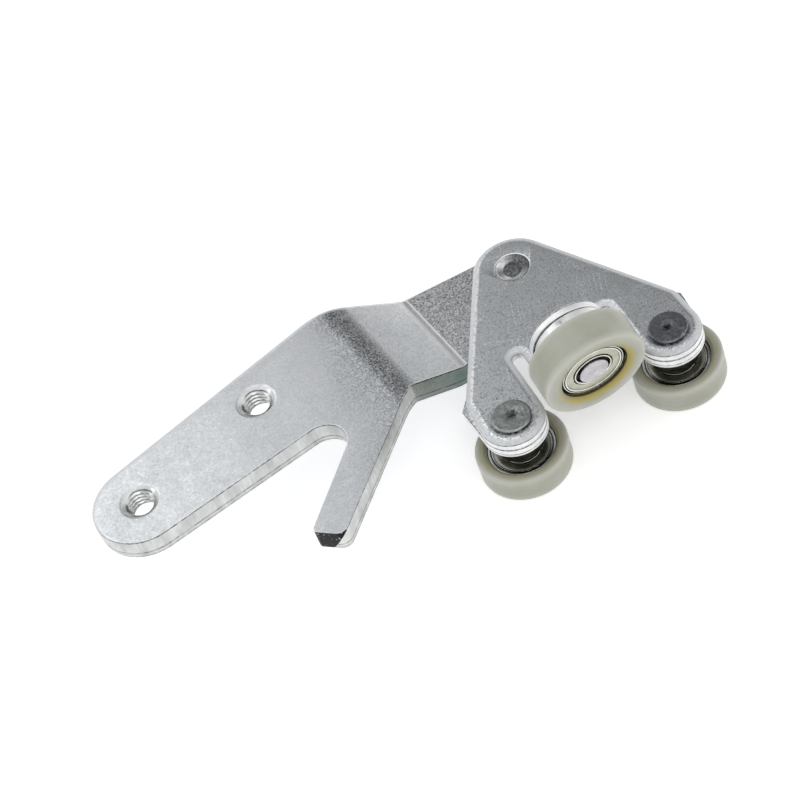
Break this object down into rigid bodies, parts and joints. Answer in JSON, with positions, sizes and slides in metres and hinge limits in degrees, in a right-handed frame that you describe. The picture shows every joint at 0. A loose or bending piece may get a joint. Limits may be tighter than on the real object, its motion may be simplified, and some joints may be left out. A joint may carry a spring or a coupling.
{
  "type": "sliding door roller",
  "caption": "Sliding door roller: a joggled steel arm with threaded holes and a swinging carrier that holds two flat guide rollers and one upright load roller.",
  "frame": {"origin": "on the axis of the threaded hole at the end of the arm's finger, halfway through the arm's plate", "axes": "+Z square to the arm's upper face, away from the guide rollers; +X from that hole to the second threaded hole, towards the carrier; the fork's prong and the carrier are on the -Y side"},
  "size_m": [0.1503, 0.0904, 0.0428],
  "materials": {
    "zinc": "satin zinc plating",
    "plate_zinc": "satin zinc plating",
    "axle_steel": "turned and zinc plated",
    "ring_steel": "ground",
    "bush_bronze": "sintered",
    "cage_brass": "pressed",
    "nylon": "moulded, slightly translucent"
  },
  "bodies": {
    "arm": {"arm_bracket": "zinc", "pivot_bush": "bush_bronze"},
    "carrier": {"top_plate": "plate_zinc", "left_doubler": "plate_zinc", "right_doubler": "plate_zinc", "pivot_pin": "axle_steel", "pivot_washer": "plate_zinc", "left_axle": "axle_steel", "left_inner_ring": "ring_steel", "right_axle": "axle_steel", "right_inner_ring": "ring_steel", "load_axle": "axle_steel", "load_inner_ring": "ring_steel"},
    "left_roller": {"left_outer_ring": "ring_steel", "left_shields": "ring_steel", "left_tyre": "nylon"},
    "left_ball_set": {"left_balls": "ring_steel", "left_cage": "cage_brass"},
    "right_roller": {"right_outer_ring": "ring_steel", "right_shields": "ring_steel", "right_tyre": "nylon"},
    "right_ball_set": {"right_balls": "ring_steel", "right_cage": "cage_brass"},
    "load_roller": {"load_outer_ring": "ring_steel", "load_shields": "ring_steel", "load_tyre": "nylon"},
    "load_ball_set": {"load_balls": "ring_steel", "load_cage": "cage_brass"}
  },
  "joints": [
    {"name": "carrier_pivot", "type": "hinge", "parent": "arm", "child": "carrier", "pos_m": [0.1149, -0.0167, -0.01], "axis": [0, 0, 1], "range_deg": [-3, 75]},
    {"name": "left_roller_spin", "type": "hinge", "parent": "carrier", "child": "left_roller", "pos_m": [0.08037, -0.05305, -0.0222], "axis": [0, 0, -1], "continuous": true},
    {"name": "left_ball_spin", "type": "hinge", "parent": "carrier", "child": "left_ball_set", "pos_m": [0.08037, -0.05305, -0.0222], "axis": [0, 0, -1], "continuous": true},
    {"name": "right_roller_spin", "type": "hinge", "parent": "carrier", "child": "right_roller", "pos_m": [0.12498, -0.06509, -0.0222], "axis": [0, 0, -1], "continuous": true},
    {"name": "right_ball_spin", "type": "hinge", "parent": "carrier", "child": "right_ball_set", "pos_m": [0.12498, -0.06509, -0.0222], "axis": [0, 0, -1], "continuous": true},
    {"name": "load_roller_spin", "type": "hinge", "parent": "carrier", "child": "load_roller", "pos_m": [0.10034, -0.06497, 0.00419], "axis": [-0.2727, -0.9447, -0.1822], "continuous": true},
    {"name": "load_ball_spin", "type": "hinge", "parent": "carrier", "child": "load_ball_set", "pos_m": [0.10034, -0.06497, 0.00419], "axis": [-0.2727, -0.9447, -0.1822], "continuous": true}
  ],
  "couplings": [
    {"joint": "left_ball_spin", "follows": "left_roller_spin", "ratio": 0.63566},
    {"joint": "right_ball_spin", "follows": "right_roller_spin", "ratio": 0.63566},
    {"joint": "load_ball_spin", "follows": "load_roller_spin", "ratio": 0.63566}
  ]
}
